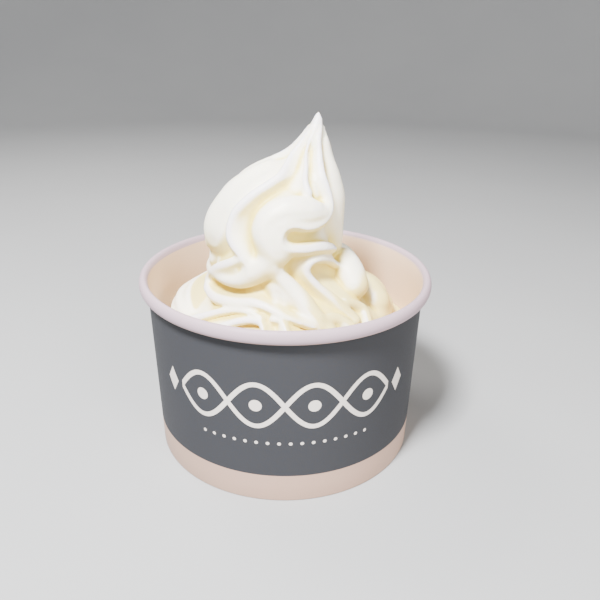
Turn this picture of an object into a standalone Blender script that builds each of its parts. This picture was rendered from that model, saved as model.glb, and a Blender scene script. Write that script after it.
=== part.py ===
"""A small paper cup of frozen yogurt: a rolled-rim cup wall, its recessed base disc, and one piped swirl of
yogurt that fills the cup and stands above it. Metres, +Z up, origin at the centre of the cup's foot, -Y the front.
"""

import math

import bmesh
import bpy
import numpy as np

MM = 0.001

# Cup
RIM_RADIUS = 47.5 * MM
CUP_HEIGHT = 59.6 * MM
FOOT_RADIUS = 43.3 * MM
NECK_RADIUS = 44.9 * MM  # outside of the wall, just under the rolled rim
ROLL_WIDTH = 2.85 * MM
ROLL_HEIGHT = 4.3 * MM
PAPER = 0.5 * MM
GAP = 0.3 * MM
HEM_HEIGHT = 6.0 * MM  # how far the wall's bottom edge is folded back up inside the foot
HEM_CORNER = 0.4 * MM
FOLD_FLOOR = 0.8 * MM  # height of the closed bottom of the folded hem
BASE_TOP = 7.0 * MM  # upper face of the base disc
BASE_BEND = 0.6 * MM  # radius at which the disc turns down into its skirt
CUP_STEPS = 64
ROLL_STEPS = 14

# Yogurt
FILL_TOP = 38.0 * MM  # where the filling meets the wall
FILL_CROWN = 7.0 * MM  # how far the filling rises towards the middle
VALLEY = 2.9 * MM  # depth of the swirl's body below the crests of its folds
VALLEY_SHARE = 0.3  # near the tip the valleys shrink with the body
VOXEL = 1.0 * MM
SMOOTH_ROUNDS = 4
SWIRL_FACES = 6100
TUBE_SIDES = 3  # bevel resolution of a fold, which gives ten sides
STEPS_BETWEEN = 4  # points laid between two points of a fold's route

# The swirl's outer shape, tip to root: height, radius, sideways lean (millimetres)
SWIRL_SHAPE = [
    (110.0, 0.2, 9.5),
    (109.0, 1.0, 9.4),
    (105.5, 2.6, 8.9),
    (99.0, 6.0, 7.3),
    (96.0, 8.6, 5.7),
    (91.4, 14.2, 2.0),
    (88.2, 17.2, 0.1),
    (82.4, 20.7, -2.1),
    (73.2, 22.4, -4.0),
    (66.0, 22.0, -4.0),
    (61.0, 23.0, -2.0),
    (56.0, 26.0, 0.4),
    (52.5, 29.0, 0.5),
    (48.0, 34.5, 0.0),
    (44.5, 38.3, 0.0),
    (40.0, 40.6, 0.0),
    (36.0, 41.5, 0.0),
]

# Folds of the swirl. Each route runs over that shape: angle from the front in degrees, positive to the right,
# height, radius of the fold, and how far it stands proud of the shape (millimetres).
FOLDS = {
    "left_shoulder": [
        (-88, 93, 2, -1.4),
        (-91, 87, 4.2, -1.8),
        (-92, 80, 7, -1.2),
        (-91, 75, 7.6, -0.4),
        (-92, 70, 7, 0),
        (-94, 65, 6, 0),
        (-96, 61, 5, 0),
    ],
    "left_lobe": [
        (-74, 93, 2.4, -1.4),
        (-70, 88, 4, -1.2),
        (-67, 82, 6.5, -1.2),
        (-68, 76, 6.5, -1.4),
        (-68, 73, 5, -2),
    ],
    "right_shoulder": [
        (82, 101, 0.8, 0),
        (87, 95, 2.5, 0),
        (91, 88, 4.5, 0),
        (93, 82, 6, 0),
        (92, 75, 6.2, 0),
        (90, 68, 4.5, 0),
    ],
    "long_ridge": [
        (-38, 106, 0.4, 0),
        (-56, 103, 0.7, 0),
        (-55, 98.8, 0.9, 0),
        (-36, 95.6, 1.1, 0.4),
        (-24, 93, 1.2, 0.6),
        (-27, 90.8, 1.2, 0.6),
        (-35, 87.4, 1.3, 0.7),
        (-40.5, 81.5, 1.4, 0.5),
        (-38, 76.6, 1.4, 0.2),
        (-26, 70.6, 1.9, 0),
        (-18, 65.5, 2.4, 0),
    ],
    "faint_ridge": [(-10, 104.6, 0.4, 0), (-16, 99.8, 0.5, 0), (6, 94.8, 0.6, 0), (23, 88.6, 1, 0)],
    "front_lip": [
        (-62, 62.2, 1.5, 1),
        (-41, 62, 2.1, 1.3),
        (-23, 63.9, 3.2, 1.4),
        (-4, 68.6, 3.8, 0.8),
        (7, 71.3, 3.2, 0.4),
    ],
    "left_hook": [
        (-26, 69.6, 1.8, 0.2),
        (-50, 64.9, 1.7, 0.9),
        (-72, 60.3, 1.6, 1.1),
        (-78, 57.4, 1.6, 1.2),
        (-73, 55.4, 1.7, 1.1),
        (-60, 54.7, 1.9, 0.9),
        (-33, 56, 2, 0.5),
        (-24, 56.6, 1.9, 0.4),
        (-8, 55.2, 1.7, 0.2),
        (14, 52.1, 1.6, 0),
        (26, 50.4, 1.4, 0),
    ],
    "arch": [
        (27, 84.4, 2.2, 0),
        (16, 84.8, 2.4, 0),
        (5, 84.6, 2.7, 0),
        (-4, 83.6, 3, 0),
        (-9.5, 80, 3, 0),
        (-5, 75, 3, 0),
        (2, 71.5, 3, 0),
    ],
    "middle_lobe": [
        (40, 82.8, 2, 0),
        (27, 82.4, 3, 0),
        (14, 82.6, 4, 0),
        (4, 81.2, 4.5, 0),
        (-1, 78.5, 4.5, 0),
        (2, 74, 4, 0),
    ],
    "right_hook": [
        (42, 105.6, 0.4, 0),
        (26, 102.3, 0.8, 0),
        (39, 93.6, 1.2, 0),
        (50.5, 86, 1.6, 0),
        (44, 80.4, 1.8, 0),
        (26, 79, 1.7, 0),
        (9, 79.6, 1.5, 0),
        (6.5, 77.6, 1.5, 0),
        (14, 73.6, 1.7, 0),
        (36, 72.6, 1.9, 0),
        (56, 71, 1.5, -0.4),
        (64, 70, 1.2, -0.8),
    ],
    "lower_hook": [
        (68, 63.5, 1, -0.8),
        (47, 67.9, 1.4, 0),
        (32, 67.8, 1.2, 0),
        (29.5, 64.5, 1.2, 0),
        (35, 58.6, 1.4, 0),
        (42.5, 53.4, 1.5, 0),
        (46, 50.8, 1.5, 0),
    ],
    "front_panel": [(4, 66.6, 2, 0.4), (10.5, 59.8, 3, 0.8), (20, 53, 2.5, 0.5)],
    "right_lobe": [
        (112, 60.5, 4.5, 0.5),
        (98, 61.5, 3.8, 1.4),
        (90, 62, 4.4, 3),
        (82, 61, 5, 3.8),
        (76, 59.5, 5.2, 3.8),
        (70, 57, 4.8, 2.4),
    ],
    "far_right_lobe": [(106, 50, 5.5, 0), (98, 49.5, 6, 0.5), (90, 47.5, 5.5, 0)],
    "low_left": [(-66, 46.5, 1.6, 0), (-51, 51.3, 1.4, 0), (-34, 54.2, 1.2, 0), (-16, 53.6, 1, 0)],
    "low_middle": [
        (-46, 47.5, 1.6, 0),
        (-31, 51.6, 1.3, 0),
        (-16, 52.4, 1, 0),
        (-13, 50.8, 0.9, 0),
    ],
    "low_front": [(-9, 53.6, 1, 0), (-1, 51.6, 1.2, 0), (2, 48.5, 1.5, 0)],
    "low_right": [(20, 52.6, 1.1, 0), (35, 51.8, 1.6, 0), (40, 49.5, 1.8, 0)],
    "low_outer": [(45, 55.2, 1.3, 0), (57, 51.4, 1.8, 0), (53, 48.8, 1.8, 0)],
}

# Ridges down the back, each swept the same way: height, swing in degrees, radius
BACK_ANGLES = (-116, -158, 160, 112)
BACK_SWEEP = [
    (105, 0, 0.5),
    (99, 7, 1.0),
    (92, 2, 1.5),
    (85, -8, 1.8),
    (77, -14, 2.0),
    (70, -10, 2.2),
    (64, -2, 2.2),
    (60, 4, 2.0),
]

# Coils that run round behind the front folds: first angle, last angle, height, distance from the axis, radius
COILS = {"upper_coil": (100, 272, 57.0, 22.0, 5.6), "lower_coil": (80, 300, 42.5, 29.5, 9.0)}
COIL_RIDGES = (80, 44, 8)  # where the ridges lie on a coil's outer side, in degrees above level
RIDGE_RADIUS = 1.5
COIL_POINTS = 13


def wall_radius(height):
    """Outside radius of the tapered wall."""
    return FOOT_RADIUS + (NECK_RADIUS - FOOT_RADIUS) * height / (CUP_HEIGHT - ROLL_HEIGHT)


def inner_radius(height, inset=0.0):
    """Inside radius of the wall's outer layer, less an inset."""
    return wall_radius(height) - PAPER - inset


def collection(name):
    made = bpy.data.collections.new(name)
    bpy.context.scene.collection.children.link(made)
    return made


def material(name, colour, roughness, subsurface=0.0):
    made = bpy.data.materials.new(name)
    made.use_nodes = True
    shader = made.node_tree.nodes["Principled BSDF"]
    shader.inputs["Base Color"].default_value = (*colour, 1.0)
    shader.inputs["Roughness"].default_value = roughness
    shader.inputs["Metallic"].default_value = 0.0
    shader.inputs["Subsurface Weight"].default_value = subsurface
    made.diffuse_color = (*colour, 1.0)
    return made


def turned(name, profile, closed, into):
    """A profile of (radius, height) points, turned about Z by a Screw modifier."""
    mesh = bpy.data.meshes.new(name)
    edges = [(i, i + 1) for i in range(len(profile) - 1)]
    if closed:
        edges.append((len(profile) - 1, 0))
    mesh.from_pydata([(r, 0.0, z) for r, z in profile], edges, [])
    piece = bpy.data.objects.new(name, mesh)
    into.objects.link(piece)
    screw = piece.modifiers.new("Turn", "SCREW")
    screw.steps = screw.render_steps = CUP_STEPS
    screw.use_merge_vertices = True
    screw.merge_threshold = 0.00005
    screw.use_smooth_shade = True
    return piece


def evaluated_copy(piece, name, into):
    """The piece with its modifiers applied, as a plain mesh object. The piece itself is removed."""
    graph = bpy.context.evaluated_depsgraph_get()
    mesh = bpy.data.meshes.new_from_object(piece.evaluated_get(graph))
    bpy.data.objects.remove(piece)
    mesh.name = name
    made = bpy.data.objects.new(name, mesh)
    into.objects.link(made)
    return made


def roll_points():
    """The rolled rim's oval section, from the inside of the wall over the top and round to the outside."""
    centre_r = RIM_RADIUS - ROLL_WIDTH / 2
    centre_z = CUP_HEIGHT - ROLL_HEIGHT / 2
    first, last = math.radians(160), math.radians(-140)
    angles = [first + (last - first) * i / ROLL_STEPS for i in range(ROLL_STEPS + 1)]
    return [
        (centre_r + ROLL_WIDTH / 2 * math.cos(a), centre_z + ROLL_HEIGHT / 2 * math.sin(a)) for a in angles
    ]


def make_cup_wall(into):
    """The wall, with its rolled rim, and its bottom edge folded back up to hold the base disc's skirt."""
    slot = 2 * GAP + PAPER  # room for the skirt, from the wall's inner face to the hem
    under_roll = CUP_HEIGHT - ROLL_HEIGHT
    roll_foot = CUP_HEIGHT - ROLL_HEIGHT / 2
    profile = roll_points()
    profile += [
        (wall_radius(under_roll), under_roll),
        (wall_radius(HEM_CORNER), HEM_CORNER),
        (wall_radius(0) - HEM_CORNER, 0),
        (inner_radius(0, slot + PAPER - HEM_CORNER), 0),
        (inner_radius(HEM_CORNER, slot + PAPER), HEM_CORNER),
        (inner_radius(HEM_HEIGHT, slot + PAPER), HEM_HEIGHT),
        (inner_radius(HEM_HEIGHT, slot), HEM_HEIGHT),
        (inner_radius(FOLD_FLOOR, slot), FOLD_FLOOR),
        (inner_radius(FOLD_FLOOR), FOLD_FLOOR),
        (inner_radius(roll_foot), roll_foot),
    ]
    wall = turned("cup_wall", profile, True, into)
    wall.data.materials.append(material("printed_paper", (0.14, 0.15, 0.17), 0.45))
    return wall


def make_cup_base(into):
    """The base disc, whose turned-down skirt stands in the hem's slot."""
    foot = FOLD_FLOOR + GAP
    underside = BASE_TOP - PAPER
    shoulder = BASE_TOP - BASE_BEND
    profile = [
        (0, BASE_TOP),
        (inner_radius(BASE_TOP, GAP + BASE_BEND), BASE_TOP),
        (inner_radius(shoulder, GAP), shoulder),
        (inner_radius(foot, GAP), foot),
        (inner_radius(foot, GAP + PAPER), foot),
        (inner_radius(underside, GAP + PAPER), underside),
        (0, underside),
    ]
    base = turned("cup_base", profile, False, into)
    base.data.materials.append(material("plain_paper", (0.72, 0.64, 0.58), 0.5))
    return base


def shape_at(heights):
    """Radius and lean of the swirl's outer shape at these heights, on a smooth curve through SWIRL_SHAPE."""
    table = np.array(SWIRL_SHAPE[::-1])
    level = table[:, 0]
    span = np.diff(level)
    cell = np.clip(np.searchsorted(level, heights) - 1, 0, len(level) - 2)
    t = (np.clip(heights, level[0], level[-1]) - level[cell]) / span[cell]
    found = []
    for value in (table[:, 1], table[:, 2]):
        slope = np.diff(value) / span
        ends = np.empty_like(value)
        ends[0], ends[-1] = slope[0], slope[-1]
        product = slope[:-1] * slope[1:]
        total = slope[:-1] + slope[1:]
        steady = product > 0
        ends[1:-1] = np.where(steady, 2 * product / np.where(steady, total, 1.0), 0.0)
        found.append(
            (2 * t**3 - 3 * t**2 + 1) * value[cell]
            + (t**3 - 2 * t**2 + t) * span[cell] * ends[cell]
            + (3 * t**2 - 2 * t**3) * value[cell + 1]
            + (t**3 - t**2) * span[cell] * ends[cell + 1]
        )
    return found


def smooth_route(route):
    """Points on a Catmull-Rom curve through the route."""
    points = np.array(route, float)
    points = np.vstack([2 * points[0] - points[1], points, 2 * points[-1] - points[-2]])
    found = []
    for i in range(1, len(points) - 2):
        p0, p1, p2, p3 = points[i - 1 : i + 3]
        for s in np.arange(STEPS_BETWEEN) / STEPS_BETWEEN:
            bend = 2 * p0 - 5 * p1 + 4 * p2 - p3
            twist = 3 * p1 - p0 - 3 * p2 + p3
            found.append(0.5 * (2 * p1 + (p2 - p0) * s + bend * s**2 + twist * s**3))
    found.append(points[-2])
    return np.array(found)


def over_shape(route):
    """Angle, distance from the swirl's middle, height, radius and lean of a fold whose outer side is on the shape."""
    angle, height, radius, proud = smooth_route(route).T
    reach, lean = shape_at(height)
    return angle, np.maximum(reach - radius + proud, 0), height, radius, lean


def coil_route(first, last, height, reach, radius, above=None):
    """A coil's own centre line or, with an angle above level, a ridge along its outer side."""
    route = []
    for i in range(COIL_POINTS):
        t = i / (COIL_POINTS - 1)
        fade = math.sin(math.pi * min(0.12 + 2.2 * min(t, 1 - t), 0.5))  # the coil's ends taper
        size, lift, push = radius * fade, 0.0, 0.0
        if above is not None:
            wander = math.radians(above + 9 * math.sin(7 * t + above))
            lift, push = (size - 0.5) * math.sin(wander), (size - 0.5) * math.cos(wander)
            size = RIDGE_RADIUS * (0.4 + 0.6 * fade)
        route.append((first + (last - first) * t, reach + push, height + lift, size, 0.0))
    return smooth_route(route).T


def make_fold(name, run, into):
    """One fold: a tapering tube along its run of angle, reach, height, radius and lean."""
    curve = bpy.data.curves.new(name, "CURVE")
    curve.dimensions = "3D"
    curve.bevel_depth = MM
    curve.bevel_resolution = TUBE_SIDES
    curve.use_fill_caps = True
    spline = curve.splines.new("POLY")
    spline.points.add(len(run[0]) - 1)
    for point, angle, reach, height, radius, lean in zip(spline.points, *run):
        a = math.radians(angle)
        point.co = ((lean + reach * math.sin(a)) * MM, -reach * math.cos(a) * MM, height * MM, 1)
        point.radius = radius
    fold = bpy.data.objects.new(name, curve)
    into.objects.link(fold)
    return evaluated_copy(fold, name, into)


def make_body(into):
    """The swirl's body, a turned shape below the crests of the folds, leaned height by height."""
    heights = np.linspace(109.5, 36.0, 48)
    radius, _ = shape_at(heights)
    radius = radius - np.minimum(VALLEY / MM, VALLEY_SHARE * radius)
    profile = [(0, heights[0] * MM)]
    profile += [(r * MM, z * MM) for r, z in zip(radius, heights)]
    profile += [(0, heights[-1] * MM)]
    body = evaluated_copy(turned("body", profile, False, into), "body", into)
    for vertex in body.data.vertices:
        _, lean = shape_at(np.array([vertex.co.z / MM]))
        vertex.co.x += lean[0] * MM
    return body


def all_runs():
    """Every fold of the swirl by name: the front's, the back's ridges, and the coils with theirs."""
    runs = {name: over_shape(route) for name, route in FOLDS.items()}
    for angle in BACK_ANGLES:
        turn = -1 if angle > 0 else 1
        runs[f"back_ridge_{angle}"] = over_shape([(angle + turn * s, z, r, 0) for z, s, r in BACK_SWEEP])
    for name, coil in COILS.items():
        runs[name] = coil_route(*coil)
        for above in COIL_RIDGES:
            runs[f"{name}_ridge_{above}"] = coil_route(*coil, above)
    return runs


def joined(pieces, name, into):
    """Several meshes as one object, still as overlapping bodies."""
    whole = bmesh.new()
    for piece in pieces:
        whole.from_mesh(piece.data)
        bpy.data.objects.remove(piece)
    mesh = bpy.data.meshes.new(name)
    whole.to_mesh(mesh)
    whole.free()
    made = bpy.data.objects.new(name, mesh)
    into.objects.link(made)
    return made


def keep_off_wall(piece):
    """Draws in whatever would come nearer to the wall than the filling's side."""
    for vertex in piece.data.vertices:
        limit = inner_radius(min(vertex.co.z, CUP_HEIGHT), 2 * GAP)
        reach = math.hypot(vertex.co.x, vertex.co.y)
        if vertex.co.z < CUP_HEIGHT and reach > limit:
            vertex.co.x *= limit / reach
            vertex.co.y *= limit / reach


def make_swirl(into):
    """Body and folds melted into one skin: voxel remesh, smoothing, then fewer faces."""
    pieces = [make_fold(name, run, into) for name, run in all_runs().items()]
    swirl = joined([*pieces, make_body(into)], "swirl", into)
    remesh = swirl.modifiers.new("Melt", "REMESH")
    remesh.mode = "VOXEL"
    remesh.voxel_size = VOXEL
    soften = swirl.modifiers.new("Soften", "SMOOTH")
    soften.factor = 0.5
    soften.iterations = SMOOTH_ROUNDS
    swirl = evaluated_copy(swirl, "swirl", into)
    thin = swirl.modifiers.new("Thin", "DECIMATE")
    thin.ratio = SWIRL_FACES / (2 * len(swirl.data.polygons))
    swirl = evaluated_copy(swirl, "swirl", into)
    keep_off_wall(swirl)
    return swirl


def make_yogurt(into, cutters):
    """The filling, up to where it meets the wall, with the swirl joined on."""
    floor = BASE_TOP + GAP
    profile = [
        (0, FILL_TOP + FILL_CROWN),
        (0.8 * inner_radius(FILL_TOP, GAP), FILL_TOP + 0.6 * FILL_CROWN),
        (inner_radius(FILL_TOP, GAP), FILL_TOP),
        (inner_radius(floor, GAP), floor),
        (0, floor),
    ]
    yogurt = turned("frozen_yogurt", profile, False, into)
    swirl = make_swirl(cutters)
    swirl.hide_render = True
    swirl.display_type = "WIRE"
    union = yogurt.modifiers.new("Swirl", "BOOLEAN")
    union.operation = "UNION"
    union.solver = "EXACT"
    union.object = swirl
    yogurt.data.materials.append(material("soft_yogurt", (0.93, 0.88, 0.76), 0.4, 0.3))
    return yogurt


def main():
    for piece in list(bpy.data.objects):
        bpy.data.objects.remove(piece)
    parts = collection("frozen_yogurt_cup")
    cutters = collection("cutters")
    make_cup_wall(parts)
    make_cup_base(parts)
    make_yogurt(parts, cutters)


main()
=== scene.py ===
import math

import bmesh
import bpy
import numpy as np
from mathutils import Matrix, Vector


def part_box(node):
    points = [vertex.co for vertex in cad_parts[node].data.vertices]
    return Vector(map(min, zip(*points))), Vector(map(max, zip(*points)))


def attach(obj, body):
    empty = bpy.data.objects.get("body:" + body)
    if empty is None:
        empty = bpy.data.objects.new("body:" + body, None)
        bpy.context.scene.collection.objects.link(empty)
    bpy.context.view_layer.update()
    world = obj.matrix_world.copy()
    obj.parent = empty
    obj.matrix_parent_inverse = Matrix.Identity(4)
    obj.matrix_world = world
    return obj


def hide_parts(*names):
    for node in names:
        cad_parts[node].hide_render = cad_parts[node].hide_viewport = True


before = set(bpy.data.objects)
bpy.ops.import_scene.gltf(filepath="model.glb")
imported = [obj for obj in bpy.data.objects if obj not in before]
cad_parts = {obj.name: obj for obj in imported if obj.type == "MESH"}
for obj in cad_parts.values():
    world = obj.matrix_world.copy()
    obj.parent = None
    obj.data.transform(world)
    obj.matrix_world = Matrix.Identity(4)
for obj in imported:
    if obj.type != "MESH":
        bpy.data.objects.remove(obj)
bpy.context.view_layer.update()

wallLow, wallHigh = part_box("cup_wall")
baseLow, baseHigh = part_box("cup_base")
yogurtLow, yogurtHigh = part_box("frozen_yogurt")
mm = 0.001


# ---- small helpers for building node trees

def feed(tree, socket, value):
    if isinstance(value, bpy.types.NodeSocket):
        tree.links.new(value, socket)
    else:
        socket.default_value = value


def addNode(tree, kind, inputs=None, **settings):
    node = tree.nodes.new(kind)
    for name, value in settings.items():
        setattr(node, name, value)
    for name, value in (inputs or {}).items():
        feed(tree, node.inputs[name], value)
    return node


def calc(tree, operation, *values, clamp=False):
    node = addNode(tree, "ShaderNodeMath", operation=operation, use_clamp=clamp)
    for socket, value in zip(node.inputs, values):
        feed(tree, socket, value)
    return node.outputs[0]


def ramp(tree, value, low, high, fromValue=0.0, toValue=1.0):
    # 0 below low, 1 above high, with a soft S between
    inputs = {"Value": value, "From Min": low, "From Max": high, "To Min": fromValue, "To Max": toValue}
    node = addNode(tree, "ShaderNodeMapRange", inputs, interpolation_type="SMOOTHSTEP")
    return node.outputs[0]


def mixColour(tree, factor, first, second, blend="MIX"):
    node = addNode(tree, "ShaderNodeMix", data_type="RGBA", blend_type=blend)
    feed(tree, node.inputs[0], factor)
    feed(tree, node.inputs[6], first)
    feed(tree, node.inputs[7], second)
    return node.outputs[2]


def addSockets(tree, inputs, outputs):
    for name, kind, value in inputs:
        socket = tree.interface.new_socket(name, in_out="INPUT", socket_type="NodeSocket" + kind)
        if value is not None:
            socket.default_value = value
    for name, kind in outputs:
        tree.interface.new_socket(name, in_out="OUTPUT", socket_type="NodeSocket" + kind)
    return tree.nodes.new("NodeGroupInput").outputs, tree.nodes.new("NodeGroupOutput").inputs


def useGroup(tree, group, **values):
    node = tree.nodes.new("ShaderNodeGroup")
    node.node_tree = group
    for name, value in values.items():
        feed(tree, node.inputs[name], value)
    return node.outputs


# ---- camera, floor and light

studio = {
    "lens": 38.85,
    "sensor": 36.0,
    "cameraPlace": (0.48 * mm, -199.11 * mm, 137.08 * mm),
    "lookDown": 0.4207,
    "lookRight": 0.0215,
    "roll": 0.0141,
    "floorRadius": 0.70,
    "floorBend": 0.50,
    "floorRise": 0.90,
    "floorSteps": 96,
    "bendSteps": 24,
    "skyColour": (0.93, 0.95, 1.0, 1.0),
    "skyStrength": 0.15,
}

studioLights = {  # place in metres, size, watts, colour
    "keyLight": ((-0.165, -0.31, 0.56), 0.12, 22.0, (0.97, 0.985, 1.0)),
    "rightFill": ((0.26, -0.36, 0.46), 0.25, 2.2, (1.0, 0.96, 0.90)),
    "lowFill": ((0.36, -0.50, 0.14), 0.20, 3.1, (1.0, 0.97, 0.93)),
    "backLight": ((-0.30, 0.25, 0.53), 0.20, 3.0, (1.0, 0.97, 0.92)),
}


def makeCamera():
    down, side, roll = studio["lookDown"], studio["lookRight"], studio["roll"]
    forward = Vector((math.sin(side) * math.cos(down), math.cos(side) * math.cos(down), -math.sin(down)))
    level = Vector((math.cos(side), -math.sin(side), 0))
    upright = level.cross(forward)
    right = level * math.cos(roll) + upright * math.sin(roll)
    up = upright * math.cos(roll) - level * math.sin(roll)
    lens = bpy.data.cameras.new("tableCamera")
    lens.sensor_width = studio["sensor"]
    lens.lens = studio["lens"]
    lens.clip_start = 0.01
    holder = bpy.data.objects.new("tableCamera", lens)
    bpy.context.scene.collection.objects.link(holder)
    turn = Matrix((right, up, -forward)).transposed().to_4x4()
    holder.matrix_world = Matrix.Translation(studio["cameraPlace"]) @ turn
    bpy.context.scene.camera = holder


def makeLights():
    sky = bpy.data.worlds.new("paleStudio")
    sky.use_nodes = True
    background = sky.node_tree.nodes["Background"]
    background.inputs["Color"].default_value = studio["skyColour"]
    background.inputs["Strength"].default_value = studio["skyStrength"]
    bpy.context.scene.world = sky
    target = Vector((0, 0, 0.06))
    for name, (place, size, power, colour) in studioLights.items():
        lamp = bpy.data.lights.new(name, "AREA")
        lamp.size = size
        lamp.energy = power
        lamp.color = colour
        holder = bpy.data.objects.new(name, lamp)
        bpy.context.scene.collection.objects.link(holder)
        holder.location = place
        holder.visible_camera = False
        holder.rotation_euler = (target - Vector(place)).to_track_quat("-Z", "Y").to_euler()


def makeFloor():
    # a level round floor that sweeps up all round
    flat, bend, bends, steps = studio["floorRadius"], studio["floorBend"], studio["bendSteps"], studio["floorSteps"]
    turns = [math.pi / 2 * step / bends for step in range(bends + 1)]
    profile = [(flat + bend * math.sin(turn), bend * (1 - math.cos(turn))) for turn in turns]
    profile.append((flat + bend, studio["floorRise"]))
    spokes = [(math.cos(2 * math.pi * k / steps), math.sin(2 * math.pi * k / steps)) for k in range(steps)]
    corners = [(0, 0, 0)] + [(reach * x, reach * y, level) for reach, level in profile for x, y in spokes]
    faces = [(0, 1 + k, 1 + (k + 1) % steps) for k in range(steps)]
    for ring in range(len(profile) - 1):
        here, above = 1 + ring * steps, 1 + (ring + 1) * steps
        faces += [(here + k, above + k, above + (k + 1) % steps, here + (k + 1) % steps) for k in range(steps)]
    mesh = bpy.data.meshes.new("paleFloor")
    mesh.from_pydata(corners, [], faces)
    mesh.polygons.foreach_set("use_smooth", [True] * len(faces))
    floor = bpy.data.objects.new("paleFloor", mesh)
    bpy.context.scene.collection.objects.link(floor)
    paint = bpy.data.materials.new("paleFloorPaint")
    paint.use_nodes = True
    tree = paint.node_tree
    shader = tree.nodes["Principled BSDF"]
    where = tree.nodes.new("ShaderNodeTexCoord").outputs["Object"]
    cloud = addNode(tree, "ShaderNodeTexNoise", {"Vector": where, "Scale": 9.0, "Detail": 3.0})
    colour = mixColour(tree, cloud.outputs["Fac"], (0.31, 0.31, 0.315, 1), (0.34, 0.34, 0.34, 1))
    feed(tree, shader.inputs["Base Color"], colour)
    shader.inputs["Roughness"].default_value = 0.75
    mesh.materials.append(paint)


makeCamera()
makeLights()
makeFloor()
print("studio ready")


# ---- the paper cup

cup = {
    "rimRadius": wallHigh.x,
    "height": wallHigh.z,
    "footRadius": 43.3 * mm,
    "neckRadius": 44.9 * mm,
    "rollWidth": 2.85 * mm,
    "rollHeight": 4.3 * mm,
    "paper": 0.5 * mm,
    "gap": 0.3 * mm,
    "hemHeight": 6.0 * mm,
    "hemCorner": 0.4 * mm,
    "foldFloor": 0.8 * mm,
    "baseBend": 0.6 * mm,
    "stepsAround": 256,
    "wallRows": 10,
    "rollRows": 26,
    "seamAngle": 2.78,  # radians from the front, positive to the right: at the back, out of sight
    "seamWidth": 0.14,
    "seamStep": 0.22 * mm,
    "wobble": 0.12 * mm,
}

printBand = {
    "lowEdge": 9.6 * mm,
    "centre": 34.5 * mm,
    "waveHeight": 7.0 * mm,
    "wavePitch": 17.0 * mm,
    "waves": 4,
    "stroke": 1.5 * mm,
    "dotRadius": 1.9 * mm,
    "gemWidth": 2.6 * mm,
    "gemHeight": 4.2 * mm,
    "gemGap": 4.6 * mm,
    "beadPitch": 3.4 * mm,
    "beadRadius": 0.55 * mm,
    "beadHeight": 21.6 * mm,
    "beadReach": 26.0 * mm,
    "inkEdge": 0.10 * mm,
}


def wallRadius(height):
    rise = cup["height"] - cup["rollHeight"]
    return cup["footRadius"] + (cup["neckRadius"] - cup["footRadius"]) * height / rise


def innerRadius(height, inset=0.0):
    return wallRadius(height) - cup["paper"] - inset


def between(start, end, steps):
    # points after start, up to and with end
    return [tuple(a + (b - a) * i / steps for a, b in zip(start, end)) for i in range(1, steps + 1)]


def wallProfile():
    # (radius, height, outside), from inside the roll, over it, down the outer side and round the hem
    slot = 2 * cup["gap"] + cup["paper"]
    corner, fold, hem = cup["hemCorner"], cup["foldFloor"], cup["hemHeight"]
    middleR = cup["rimRadius"] - cup["rollWidth"] / 2
    middleZ = cup["height"] - cup["rollHeight"] / 2
    points = []
    for i in range(cup["rollRows"] + 1):
        a = math.radians(160 - 300 * i / cup["rollRows"])
        points.append((middleR + cup["rollWidth"] / 2 * math.cos(a), middleZ + cup["rollHeight"] / 2 * math.sin(a), 1))
    underRoll = cup["height"] - cup["rollHeight"] * 0.92
    top = (wallRadius(underRoll), underRoll, 1)
    points.append(top)
    points += between(top, (wallRadius(corner), corner, 1), cup["wallRows"])
    for i in range(1, 5):
        a = math.radians(90 * i / 4)
        points.append((wallRadius(0) - corner * (1 - math.cos(a)), corner * (1 - math.sin(a)), 1))
    inside = innerRadius(0, slot + cup["paper"])
    points.append((inside + corner, 0, 0))
    points.append((inside + corner * 0.3, corner * 0.3, 0))
    points.append((inside, corner, 0))
    points.append((innerRadius(hem, slot + cup["paper"]), hem, 0))
    points.append((innerRadius(hem, slot), hem, 0))
    points.append((innerRadius(fold, slot), fold, 0))
    points.append((innerRadius(fold), fold, 0))
    points += between(points[-1], (innerRadius(middleZ), middleZ, 0), cup["wallRows"])
    points.append(points[0])
    return points


def baseProfile():
    # (radius, height, outside) of the disc and the skirt that is turned down from it
    gap, paper, bend = cup["gap"], cup["paper"], cup["baseBend"]
    top, foot = baseHigh.z, baseLow.z
    points = [(0, top, 0)]
    points += between(points[0], (innerRadius(top, gap + bend), top, 0), 6)
    for i in range(1, 5):
        a = math.radians(90 * i / 4)
        centre = innerRadius(top, gap + bend)
        points.append((centre + bend * math.sin(a), top - bend * (1 - math.cos(a)), 0))
    points.append((innerRadius(foot, gap), foot, 0))
    points.append((innerRadius(foot, gap + paper), foot, 0))
    points.append((innerRadius(top - paper, gap + paper), top - paper, 0))
    points += between(points[-1], (0, top - paper, 0), 6)
    return points


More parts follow.
